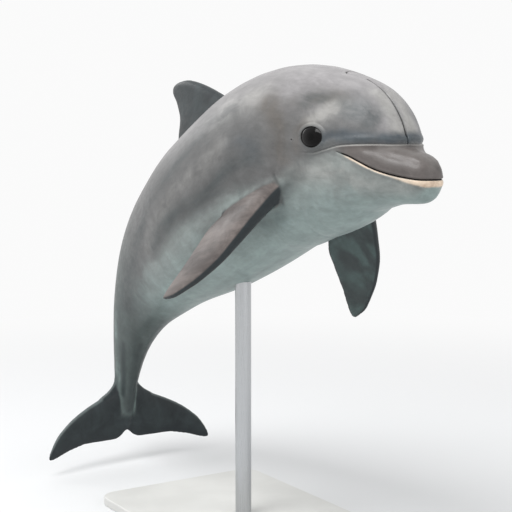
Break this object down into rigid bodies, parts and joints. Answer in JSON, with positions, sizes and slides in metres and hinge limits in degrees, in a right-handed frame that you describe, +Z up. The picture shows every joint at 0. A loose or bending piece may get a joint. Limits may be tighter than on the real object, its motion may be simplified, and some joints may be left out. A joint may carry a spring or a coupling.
{
  "type": "bottlenose dolphin on a display stand",
  "caption": "Life-size leaping bottlenose dolphin with arched back, closed smiling mouth and hanging flukes, held up by a flat base and a rod.",
  "frame": {"origin": "middle of the stand's underside, on the floor, below the dolphin's centre of mass", "axes": "+X the way the dolphin heads, +Y towards its left side, +Z up; XZ is the plane that halves its head, body and tail"},
  "size_m": [1.8292, 0.6876, 1.4698],
  "materials": {
    "skin": "smooth wet-look skin, mid grey with soft lengthwise streaks, satin",
    "pale_skin": "smooth pale blue-grey skin of the lower jaw and throat, satin",
    "fin_skin": "smooth dark slate skin of fins and flukes, satin",
    "eye": "near-black, wet and glossy",
    "base_paint": "off-white satin paint",
    "rod_steel": "satin brushed along the rod"
  },
  "bodies": {
    "root": {"head": "skin", "lower_jaw": "pale_skin", "torso_front": "skin", "torso_rear": "skin", "tail_stock_upper": "skin", "tail_stock_lower": "skin", "dorsal_fin": "fin_skin", "flipper_left": "fin_skin", "flipper_right": "fin_skin", "fluke_left": "fin_skin", "fluke_right": "fin_skin", "eye_left": "eye", "eye_right": "eye", "stand_base": "base_paint", "stand_rod": "rod_steel"}
  },
  "joints": []
}
